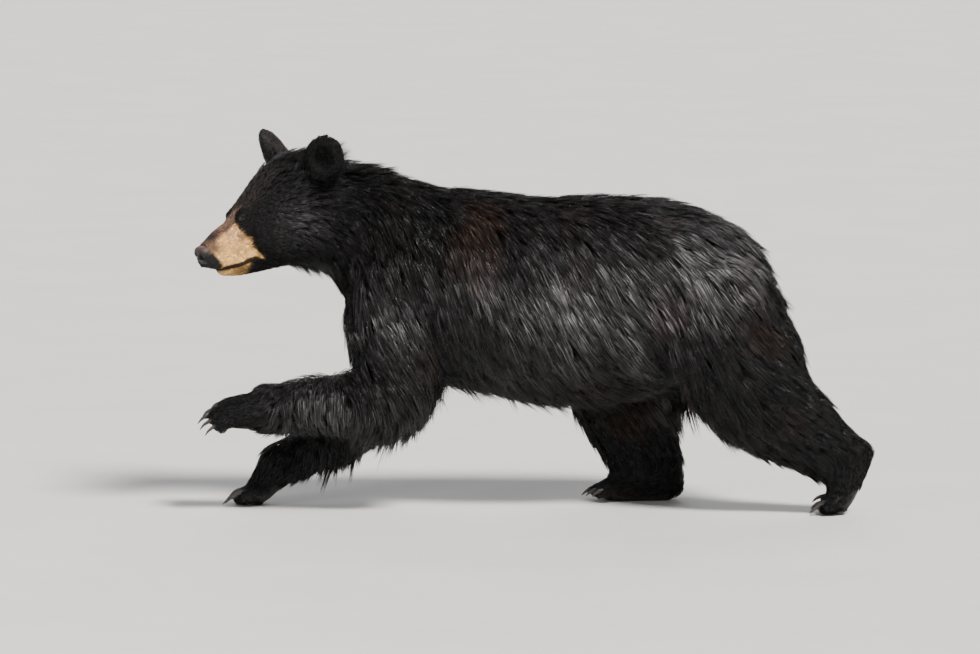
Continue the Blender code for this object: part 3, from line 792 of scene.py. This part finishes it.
def coat_piece(name, points, tints, places, material, guard):
    """One mesh of many tufts, with its tint and bake map."""
    faces = GUARD_FACES if guard else UNDER_FACES
    shade = GUARD_SHADE if guard else UNDER_SHADE
    count, corners_each = points.shape[:2]
    mesh = bpy.data.meshes.new(name)
    mesh.vertices.add(count * corners_each)
    mesh.vertices.foreach_set("co", points.astype(np.float32).ravel())
    corners = (faces[None] + corners_each * np.arange(count)[:, None, None]).astype(np.int32)
    mesh.loops.add(corners.size)
    mesh.loops.foreach_set("vertex_index", corners.ravel())
    mesh.polygons.add(count * len(faces))
    mesh.polygons.foreach_set("loop_start", np.arange(0, corners.size, 3, dtype=np.int32))
    mesh.update(calc_edges=True)
    mesh.validate()
    colour = np.repeat(tints[:, None], corners_each, 1)
    # Painted shade: each tuft darkens towards its root.
    colour[:, :, :3] *= shade[:, None]
    paint_tint(mesh, colour.reshape(-1, 4))
    layer = mesh.uv_layers.new(name="OFBake")
    low, high = places.min(0), places.max(0)
    places = PATCH + (places - low) / (high - low) * (1 - 2 * PATCH)
    spots = places[:, None] + (GUARD_MAP if guard else UNDER_MAP)[None] * PATCH
    layer.data.foreach_set("uv", spots.reshape(-1, 2)[corners.ravel()].astype(np.float32).ravel())
    mesh.shade_smooth()
    mesh.materials.append(material)
    return linked(name, mesh)


# -------- materials

NOISE_LOW, NOISE_HIGH = 0.3, 0.7  # the part of a noise's range that counts
NOISE_ROUGHNESS = 0.55
UNDER_SPECULAR, GUARD_SPECULAR = 0.11, 0.38
DULL_ROUGHNESS = 0.30  # added where the hair is short


def new_material(name, roughness, **constants):
    """(material, node tree, shader), Principled, with constants set on the shader's sockets."""
    made = bpy.data.materials.new(name)
    made.use_nodes = True
    shader = made.node_tree.nodes["Principled BSDF"]
    shader.inputs["Roughness"].default_value = roughness
    for socket, value in constants.items():
        shader.inputs[socket.replace("_", " ")].default_value = value
    return made, made.node_tree, shader


def add_node(tree, kind, inputs=(), **settings):
    node = tree.nodes.new("ShaderNode" + kind)
    for key, value in settings.items():
        setattr(node, key, value)
    for socket, value in dict(inputs).items():
        if isinstance(value, bpy.types.NodeSocket):
            tree.links.new(value, node.inputs[socket])
        else:
            node.inputs[socket].default_value = value
    return node


def object_place(tree):
    return add_node(tree, "TexCoord").outputs["Object"]


def noise(tree, scale, detail):
    inputs = {"Vector": object_place(tree), "Scale": scale, "Detail": detail, "Roughness": NOISE_ROUGHNESS}
    return add_node(tree, "TexNoise", inputs).outputs["Fac"]


def ramped(tree, value, low, high, out_low, out_high):
    inputs = {"Value": value, "From Min": low, "From Max": high, "To Min": out_low, "To Max": out_high}
    return add_node(tree, "MapRange", inputs).outputs["Result"]


def varied(tree, scale, detail, low, high):
    """A number that wanders between low and high over the surface."""
    return ramped(tree, noise(tree, scale, detail), NOISE_LOW, NOISE_HIGH, low, high)


def bumped(tree, shader, height, strength, distance):
    bump = add_node(tree, "Bump", {"Height": height, "Strength": strength, "Distance": distance})
    tree.links.new(bump.outputs["Normal"], shader.inputs["Normal"])


def coloured(tree, shader, colour, factor):
    """The shader's colour is this one times factor, a number output."""
    scaled = add_node(tree, "VectorMath", {0: colour, "Scale": factor}, operation="SCALE")
    tree.links.new(scaled.outputs["Vector"], shader.inputs["Base Color"])


def attribute(tree, name, output):
    return add_node(tree, "Attribute", attribute_name=name).outputs[output]


def attribute_ramp(tree, name, stops):
    """Colours along a mesh's attribute, from (position, colour) of each stop."""
    ramp = add_node(tree, "ValToRGB", {"Fac": attribute(tree, name, "Fac")})
    elements = ramp.color_ramp.elements
    ready = len(elements)
    for index, (at, colour) in enumerate(stops):
        stop = elements[index] if index < ready else elements.new(at)
        stop.position, stop.color = at, (*colour, 1)
    return ramp.outputs["Color"]


def fur_material(name, specular):
    made, tree, shader = new_material(
        name, 0.32, Specular_IOR_Level=specular, Sheen_Weight=0.04, Sheen_Roughness=0.4,
        Sheen_Tint=(0.95, 0.97, 1.0, 1),
    )
    coloured(tree, shader, attribute(tree, "tint", "Color"), varied(tree, 38, 4, 0.72, 1.30))
    dull = attribute(tree, "tint", "Alpha")
    glossy = varied(tree, 45, 3, 0.21, 0.42)
    rough = add_node(tree, "Math", {0: dull, 1: DULL_ROUGHNESS, 2: glossy}, operation="MULTIPLY_ADD")
    tree.links.new(rough.outputs[0], shader.inputs["Roughness"])
    bumped(tree, shader, noise(tree, 1500, 2), 0.25, 0.0004)
    return made


def skin_material():
    made, tree, shader = new_material("skin", 0.62, Specular_IOR_Level=0.35)
    coloured(tree, shader, attribute(tree, "tint", "Color"), varied(tree, 300, 3, 0.65, 1.05))
    tree.links.new(varied(tree, 120, 2, 0.5, 0.75), shader.inputs["Roughness"])
    bumped(tree, shader, noise(tree, 900, 4), 0.6, 0.0008)
    return made


def pebbled_material(name, roughness, cell, depth, **constants):
    """Bare leathery skin in rounded cells, of its mesh's own tint."""
    made, tree, shader = new_material(name, roughness, **constants)
    inputs = {"Vector": object_place(tree), "Scale": 1 / cell}
    cells = add_node(tree, "TexVoronoi", inputs, feature="SMOOTH_F1").outputs["Distance"]
    change = ramped(tree, cells, 0.1, 0.7, 1.35, 0.55)
    coloured(tree, shader, attribute(tree, "tint", "Color"), change)
    rough = varied(tree, 400, 2, roughness - 0.08, roughness + 0.12)
    tree.links.new(rough, shader.inputs["Roughness"])
    bumped(tree, shader, ramped(tree, cells, 0.0, 0.8, 1.0, 0.0), 0.7, depth)
    return made


# Radians off the eye's axis and the colour there: pupil, iris and the white, which is dark.
EYE_RINGS = (
    (0.26, (0.0010, 0.0008, 0.0008)),
    (0.32, (0.020, 0.0085, 0.0036)),
    (0.52, (0.012, 0.0052, 0.0024)),
    (0.60, (0.0020, 0.0015, 0.0015)),
    (0.90, (0.008, 0.0055, 0.0050)),
)
CLAW_WEAR = ((0.15, (0.018, 0.015, 0.014)), (0.95, (0.060, 0.050, 0.042)))  # from root to tip


def eye_material():
    made, tree, shader = new_material(
        "eye", 0.24, Coat_Weight=0.45, Coat_Roughness=0.02, Specular_IOR_Level=0.10
    )
    coloured(tree, shader, attribute_ramp(tree, "off_axis", EYE_RINGS), varied(tree, 900, 3, 0.6, 1.4))
    return made


def claw_material():
    made, tree, shader = new_material("claw", 0.34, Specular_IOR_Level=0.5)
    grain = noise(tree, 700, 3)
    change = ramped(tree, grain, NOISE_LOW, NOISE_HIGH, 0.75, 1.25)
    coloured(tree, shader, attribute_ramp(tree, "worn", CLAW_WEAR), change)
    bumped(tree, shader, grain, 0.35, 0.0003)
    return made


# -------- small parts

EYE_ROWS, EYE_COLUMNS = 40, 64
IRIS_BALL = 0.0105  # the radius of the ball that EYE_RINGS are stated for
LID_COLUMNS = 72
LID_CLEAR, LID_THICK = 0.0004, 0.0008
NOSE_ROWS, NOSE_COLUMNS = 90, 128
NOSE_RADII, NOSE_SQUARENESS = np.array((0.0206, 0.0116, 0.0159)), 2.8
NOSE_PLACE, NOSE_TILT = np.array((0, -0.0694, -0.0438)), math.radians(3)  # in the head's frame


def grid_faces(rows, columns):
    """Quads of a grid closed around its columns."""
    return [
        (r * columns + c, r * columns + (c + 1) % columns, (r + 1) * columns + (c + 1) % columns,
         (r + 1) * columns + c)
        for r in range(rows - 1)
        for c in range(columns)
    ]


def eye_frame(out):
    """(centre, columns: towards the ear, up, out of the head) of an eye, in the model's frame."""
    look = unit(np.array((0.86 * out, -0.50, 0.10)))
    back = unit(np.cross((0, 0, 1), look)) * out
    up = np.cross(look, back) * out
    centre = EYE_IN_HEAD * (out, 1, 1) - EYE_SET * look
    return from_head(centre), HEAD_TURN @ np.stack([back, up, look], 1)


def eyeball(name, out, material):
    centre, axes = eye_frame(out)
    points, off = [], []
    for r in range(EYE_ROWS):
        angle = math.pi * (r + 0.5) / EYE_ROWS
        bulge = 1 + 0.055 * float(step(0.55, 0.25, np.array(angle / math.pi * 1.6)))
        for c in range(EYE_COLUMNS):
            turn = 2 * math.pi * c / EYE_COLUMNS
            way = (math.sin(angle) * math.cos(turn), math.sin(angle) * math.sin(turn), math.cos(angle))
            points.append(centre + axes @ (np.array(way) * EYE_RADIUS * bulge))
            off.append(angle * EYE_RADIUS / IRIS_BALL)
    faces = grid_faces(EYE_ROWS, EYE_COLUMNS)
    faces += [tuple(reversed(range(EYE_COLUMNS))), tuple(range(len(points) - EYE_COLUMNS, len(points)))]
    mesh = mesh_from(name, points, faces, material)
    mark(mesh, "off_axis", off)
    return finished(linked(name, mesh), [f"eye_{'left' if out > 0 else 'right'}"])


def finished(obj, nodes=()):
    """Smooth, closed outwards and riding on the bear; it stands for nodes."""
    bm = bmesh.new()
    bm.from_mesh(obj.data)
    bmesh.ops.recalc_face_normals(bm, faces=bm.faces)
    bm.to_mesh(obj.data)
    bm.free()
    obj.data.shade_smooth()
    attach(obj, "root")
    if nodes:
        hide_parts(*nodes)
    return obj


LID_WIDE, LID_TALL = 0.0066, 0.0035
LID_ROWS = (  # (distance out from the margin, height over the ball), in metres
    (-0.0002, -0.0012), (-0.0003, 0.0000), (0.0000, 0.0008), (0.0006, 0.0013), (0.0014, 0.0014),
    (0.0024, 0.0011), (0.0036, 0.0008), (0.0050, 0.0002), (0.0068, -0.0010), (0.0088, -0.0026),
)


def lids(name, out, material):
    """The rims of the upper and lower lids, almond-shaped on the ball."""
    centre, axes = eye_frame(out)
    points = []
    for reach, height in LID_ROWS:
        for c in range(LID_COLUMNS):
            turn = 2 * math.pi * c / LID_COLUMNS
            u, v = math.cos(turn), math.sin(turn)
            wide, tall = LID_WIDE + reach, LID_TALL + reach
            v = v * (1 - 0.22 * abs(u) ** 3)
            fold = 0.0007 * max(v, 0) * bell(np.array(reach - 0.0034), 0.0012)
            flat = np.array((wide * u, tall * v + 0.0010 * u * min(reach * 400, 1)))
            radius = EYE_RADIUS + LID_CLEAR + height + fold
            lean = np.linalg.norm(flat) / EYE_RADIUS
            way = np.array((*(flat / max(np.linalg.norm(flat), 1e-9) * math.sin(lean)), math.cos(lean)))
            points.append(centre + axes @ (way * radius))
    mesh = mesh_from(name, points, grid_faces(len(LID_ROWS), LID_COLUMNS), material)
    paint_tint(mesh, LID)
    obj = linked(name, mesh)
    solid = obj.modifiers.new("Thick", "SOLIDIFY")
    solid.thickness, solid.offset = LID_THICK, -1
    return finished(obj)


def nose_pad(material):
    """The bare pad with its nostrils, slits and groove."""
    angle = (np.arange(NOSE_ROWS) + 0.5) / NOSE_ROWS * math.pi
    turn = np.arange(NOSE_COLUMNS) / NOSE_COLUMNS * 2 * math.pi
    angle, turn = (g.ravel() for g in np.meshgrid(angle, turn, indexing="ij"))
    way = np.stack([np.sin(angle) * np.cos(turn), -np.cos(angle), np.sin(angle) * np.sin(turn)], 1)
    size = (np.abs(way) ** NOSE_SQUARENESS).sum(1, keepdims=True) ** (1 / NOSE_SQUARENESS)
    local = way / size * NOSE_RADII
    z = local[:, 2]
    front = step(0.002, -0.004, local[:, 1])
    # The pad narrows below and its top edge is straight.
    local[:, 0] *= 1 - 0.24 * step(0.002, -0.016, z)
    x = np.abs(local[:, 0])
    from_nostril = np.hypot((x - 0.0098) / 0.0046, (z + 0.0005) / 0.0048)
    hole = step(1.25, 0.75, from_nostril)
    along = np.clip((x - 0.0115) / 0.0085, 0, 1)
    slit = step(1.5, 0.6, np.abs(z + 0.0025 + 0.0050 * along) / 0.0015) * step(0.010, 0.012, x)
    slit = slit * step(0.0212, 0.0190, x)
    rim = bell(from_nostril - 1.55, 0.30)
    groove = bell(x, 0.0009) * step(0.004, -0.002, z)
    local[:, 1] += front * (0.0085 * hole + 0.0045 * slit * (1 - hole) - 0.0009 * rim + 0.0011 * groove)
    local[:, 0] -= np.sign(local[:, 0]) * 0.0014 * slit * step(-0.002, 0.004, local[:, 1])
    points = from_head(local @ rotation("X", NOSE_TILT).T + NOSE_PLACE)
    faces = grid_faces(NOSE_ROWS, NOSE_COLUMNS)
    faces += [tuple(range(NOSE_COLUMNS)), tuple(range(len(points) - NOSE_COLUMNS, len(points)))]
    mesh = mesh_from("nose_pad", points, faces, material)
    # The pad is near black; its top is painted lighter brown, a painted highlight where light falls from
    # above.
    over = step(0.000, 0.011, z + 0.5 * local[:, 1])
    paint_tint(mesh, mix(np.tile(NOSE_DARK, (len(points), 1)), NOSE_PAINTED_HIGHLIGHT, over))
    return finished(linked("nose_pad", mesh), ["nose"])


def claw_piece(name, material):
    """A claw of horn, rounded from its solid, worn pale at the tip."""
    bm = bmesh.new()
    bm.from_mesh(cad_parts[name].data)
    bmesh.ops.remove_doubles(bm, verts=bm.verts, dist=WELD)
    bmesh.ops.join_triangles(bm, faces=bm.faces, angle_face_threshold=0.6, angle_shape_threshold=0.9)
    mesh = bpy.data.meshes.new("horn")
    bm.to_mesh(mesh)
    bm.free()
    obj = linked("horn", mesh)
    round_off = obj.modifiers.new("Round", "SUBSURF")
    round_off.levels = round_off.render_levels = 2
    mesh = evaluated(obj)
    mesh.name = f"horn_{name}"
    paw = name.split("_", 1)[1].rsplit("_", 1)[0]
    ahead = -((coords(mesh) - paw_origin(paw)) @ paw_turn(paw))[:, 1]
    ahead = (ahead - ahead.min()) / (np.ptp(ahead) + 1e-9)
    mark(mesh, "worn", ahead)
    mesh.materials.append(material)
    return finished(linked(f"horn_{name}", mesh), [name])


# -------- assembly


def skin_object(surface, tint, material):
    mesh = mesh_from("skin", surface.co, surface.tris.tolist(), material)
    paint_tint(mesh, tint)
    obj = linked("skin", mesh)
    mesh.uv_layers.new(name="OFBake")
    bpy.context.view_layer.objects.active = obj
    obj.select_set(True)
    bpy.ops.object.mode_set(mode="EDIT")
    bpy.ops.mesh.select_all(action="SELECT")
    bpy.ops.uv.smart_project(angle_limit=math.radians(66), island_margin=0.002)
    bpy.ops.object.mode_set(mode="OBJECT")
    mesh.shade_smooth()
    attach(obj, "root")
    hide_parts(*FLESH)
    return obj


def loop_map(mesh):
    """The bake map's place at each corner of each triangle."""
    held = read(mesh.uv_layers["OFBake"].data, "uv", 2, np.float32)
    return held.reshape(-1, 3, 2).astype(float)


BARE_MARGIN, SUNK_MARGIN, SUNK_DEPTH = 0.0018, 0.0028, 0.0060  # of the skin round the eyes
NOSE_BACK = -0.0600  # the bridge of skin behind the pad
NOSE_BARE = 0.45  # the share in the nose's region from which no hair grows
# The most painted highlight that one hair gets.
PAINTED_SHINE_LIMIT = 1.15


def round_eye(points, centre, axes, margin):
    """How far points lie off an eye's axis, 1 at a margin round the lids, and which are ahead of it."""
    q = (points - centre) @ axes
    return np.hypot(q[:, 0] / (LID_WIDE + margin), q[:, 1] / (LID_TALL + margin)), q[:, 2] > 0


def sunk_at_eyes(surface):
    """Draws the skin in under the lids."""
    for out in SIDES.values():
        centre, axes = eye_frame(out)
        off, ahead = round_eye(surface.co, centre, axes, SUNK_MARGIN)
        near = step(1.15, 0.85, off) * ahead
        surface.co = surface.co - near[:, None] * SUNK_DEPTH * axes[:, 2]


def sunk_at_nose(surface):
    """Draws the skin back behind the bare pad, clear of its nostrils."""
    at = in_head(surface.co)
    inside = step(1.02, 0.78, np.hypot(at[:, 0] / 0.0205, (at[:, 2] + 0.0425) / 0.0165))
    back = inside * np.maximum(NOSE_BACK - at[:, 1], 0) * (at[:, 1] < -0.045)
    surface.co = surface.co + back[:, None] * HEAD_TURN[:, 1]


def build_bear():
    tint = markings(surface.co, normals, weights)
    bare = paw_bare(surface.co, normals, weights)
    for out in SIDES.values():
        off, ahead = round_eye(surface.co, *eye_frame(out), BARE_MARGIN)
        bare = np.maximum(bare, (off < 1) & ahead)
    bare = np.maximum(bare, weights["nose"] > NOSE_BARE)
    sunk_at_eyes(surface)
    sunk_at_nose(surface)
    skin = skin_object(surface, tint, skin_material())
    coat = Coat(surface, normals, flow, fields, bare)
    root, normal, middle, tip, width = coat.shapes()
    change = rng.uniform(0.75, 1.3, len(root)) * np.exp(coat.shade * 0.6)
    tints = coat.at_roots(tint) * change[:, None]
    # Painted highlight: a pale colour is added to the hairs in the shining spots, most to the long ones.
    painted_shine = coat.at_roots(painted_highlight_strength(surface.co, normals)[:, None])[:, 0] * np.exp(coat.shade)
    painted_shine = painted_shine * rng.uniform(0.0, 1.0, len(root)) ** 1.3 * np.where(coat.long, 1.0, 0.42)
    tints = tints + np.clip(painted_shine, 0, PAINTED_SHINE_LIMIT)[:, None] * PAINTED_HIGHLIGHT
    # Short hair is dull, the long coat glossy.
    dull = step(0.030, 0.012, coat.at_roots(fields)[:, 0])
    tints = np.concatenate([tints, dull[:, None]], 1)
    places = np.einsum("nk,nkj->nj", coat.bary, loop_map(skin.data)[coat.tri])
    order = np.argsort(root[:, 1], kind="stable")
    for guard, name, specular in ((False, "under", UNDER_SPECULAR), (True, "guard", GUARD_SPECULAR)):
        fur = fur_material(f"{name}_hair", specular)
        own = order[coat.long[order] == guard]
        pieces = math.ceil(len(own) * len(GUARD_FACES if guard else UNDER_FACES) / PIECE_TRIANGLES)
        for number, pick in enumerate(np.array_split(own, pieces)):
            points = tuft_points(root[pick], normal[pick], middle[pick], tip[pick], width[pick], guard)
            obj = coat_piece(f"{name}_{number + 1}", points, tints[pick], places[pick], fur, guard)
            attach(obj, "root")


def build_small_parts():
    eye = eye_material()
    lid = pebbled_material("lid", 0.60, 0.0006, 0.0002, Specular_IOR_Level=0.2)
    for side, out in SIDES.items():
        eyeball(f"eyeball_{side}", out, eye)
        lids(f"lids_{side}", out, lid)
    wet = {"Specular_IOR_Level": 0.35, "Coat_Weight": 0.03, "Coat_Roughness": 0.30}
    nose_pad(pebbled_material("nose", 0.56, 0.0011, 0.0004, **wet))
    horn = claw_material()
    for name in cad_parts:
        if name.startswith("claw_"):
            claw_piece(name, horn)


# -------- studio

FLOOR_REACH = 400.0
FILL_PLACE, FILL_TARGET = Vector((4.0, -3.4, 1.6)), Vector((0, 0, 0.4))


def floor_material():
    made, tree, shader = new_material("floor", 0.75, Specular_IOR_Level=0.2)
    base = add_node(tree, "RGB")
    base.outputs[0].default_value = (0.74, 0.73, 0.71, 1)
    coloured(tree, shader, base.outputs[0], varied(tree, 3, 3, 0.97, 1.03))
    return made


def fill_light():
    """A soft lamp before the animal, aimed at its middle."""
    light = bpy.data.lights.new("fill", "AREA")
    light.shape, light.size, light.size_y = "RECTANGLE", 0.9, 0.8
    light.energy, light.color = 75, (0.97, 0.98, 1.0)
    obj = linked("fill", light)
    obj.location = FILL_PLACE
    obj.rotation_euler = (FILL_TARGET - FILL_PLACE).to_track_quat("-Z", "Y").to_euler()


def sun_light(name, way, strength, spread, colour):
    """Parallel light from a direction, softened over an angle in degrees."""
    light = bpy.data.lights.new(name, "SUN")
    light.energy, light.angle, light.color = strength, math.radians(spread), colour
    linked(name, light).rotation_euler = Vector(way).to_track_quat("Z", "Y").to_euler()


def studio():
    corners = [(x * FLOOR_REACH, y * FLOOR_REACH, 0) for x, y in ((-1, -1), (1, -1), (1, 1), (-1, 1))]
    mesh = mesh_from("floor", corners, [(0, 1, 2, 3)], floor_material())
    linked("floor", mesh)
    sun_light("key", (0.56, 0.42, 0.82), 6.0, 16, (1.0, 0.985, 0.96))
    sun_light("far", (-0.80, 0.05, 0.50), 1.1, 50, (0.98, 0.98, 1.0))
    fill_light()
    world = bpy.data.worlds.new("studio")
    world.use_nodes = True
    background = world.node_tree.nodes["Background"]
    background.inputs["Color"].default_value = (0.90, 0.91, 0.93, 1)
    background.inputs["Strength"].default_value = 0.26
    bpy.context.scene.world = world


VIEW_TARGET, VIEW_WIDTH, VIEW_DISTANCE = (0.0, -0.0825, 0.3348), 1.813, 13.0
VIEW_AZIMUTH, VIEW_ELEVATION = math.radians(90), math.radians(6)
SENSOR = 36


def camera():
    lens = bpy.data.cameras.new("view")
    lens.sensor_width = SENSOR
    lens.lens = SENSOR * VIEW_DISTANCE / VIEW_WIDTH
    lens.clip_end = 100
    obj = linked("view", lens)
    level, high = math.cos(VIEW_ELEVATION), math.sin(VIEW_ELEVATION)
    back = Vector((math.sin(VIEW_AZIMUTH) * level, -math.cos(VIEW_AZIMUTH) * level, high))
    obj.location = Vector(VIEW_TARGET) + back * VIEW_DISTANCE
    obj.rotation_euler = (-back).to_track_quat("-Z", "Y").to_euler()
    bpy.context.scene.camera = obj


build_bear()
build_small_parts()
studio()
camera()
bpy.context.view_layer.update()
